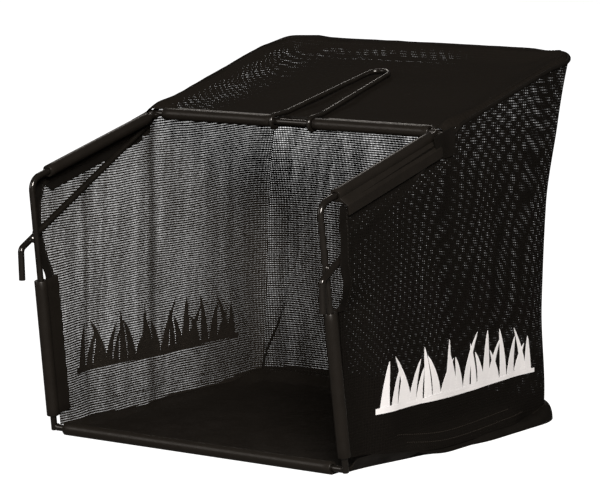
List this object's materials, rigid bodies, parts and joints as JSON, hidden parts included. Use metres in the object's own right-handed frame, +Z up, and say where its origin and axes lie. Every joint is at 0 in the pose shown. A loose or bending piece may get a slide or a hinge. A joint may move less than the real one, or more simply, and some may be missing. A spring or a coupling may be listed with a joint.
{
  "type": "reel mower grass catcher",
  "caption": "Grass catcher for a hand reel mower: bent wire mouth frame with hooks, plastic clamping sleeves, mesh fabric bag with a solid floor, and a folding carrying bail.",
  "frame": {"origin": "centre of the bounding box in X and Y, at the level of the floor that the catcher stands on", "axes": "+X to the catcher's right seen from behind the mouth, +Y from the mouth to the back, +Z up"},
  "size_m": [0.4258, 0.5002, 0.4053],
  "materials": {
    "painted_wire": "black powder coat, satin to gloss",
    "sleeve_plastic": "extruded black plastic, dull sheen",
    "side_mesh": "open woven black mesh",
    "roof_cloth": "dense black mesh cloth",
    "floor_cloth": "coated black cloth, smooth and closed",
    "binding": "black woven binding tape, stitched"
  },
  "bodies": {
    "bag": {"top_bar": "painted_wire", "bottom_bar": "painted_wire", "upright_wire_left": "painted_wire", "upright_wire_right": "painted_wire", "slope_wire_left": "painted_wire", "slope_wire_right": "painted_wire", "hook_rod_left": "painted_wire", "hook_rod_right": "painted_wire", "top_sleeve_left": "sleeve_plastic", "top_sleeve_right": "sleeve_plastic", "slope_sleeve_left": "sleeve_plastic", "slope_sleeve_right": "sleeve_plastic", "upright_sleeve_left": "sleeve_plastic", "upright_sleeve_right": "sleeve_plastic", "bottom_sleeve": "sleeve_plastic", "side_panel_left": "side_mesh", "side_panel_right": "side_mesh", "back_panel": "side_mesh", "roof_panel": "roof_cloth", "floor_panel": "floor_cloth", "floor_welt_left": "floor_cloth", "floor_welt_right": "floor_cloth", "floor_welt_back": "floor_cloth", "mouth_hem_left": "binding", "mouth_hem_right": "binding", "roof_hem": "binding", "roof_tape_left": "binding", "roof_tape_right": "binding", "roof_tape_back": "binding", "back_tape_left": "binding", "back_tape_right": "binding", "corner_patch_left": "binding", "corner_patch_right": "binding"},
    "bail": {"carry_bail": "painted_wire"}
  },
  "joints": [
    {"name": "bail_hinge", "type": "hinge", "parent": "bag", "child": "bail", "pos_m": [0, -0.0208, 0.336], "axis": [1, 0, 0], "range_deg": [0, 250]}
  ]
}
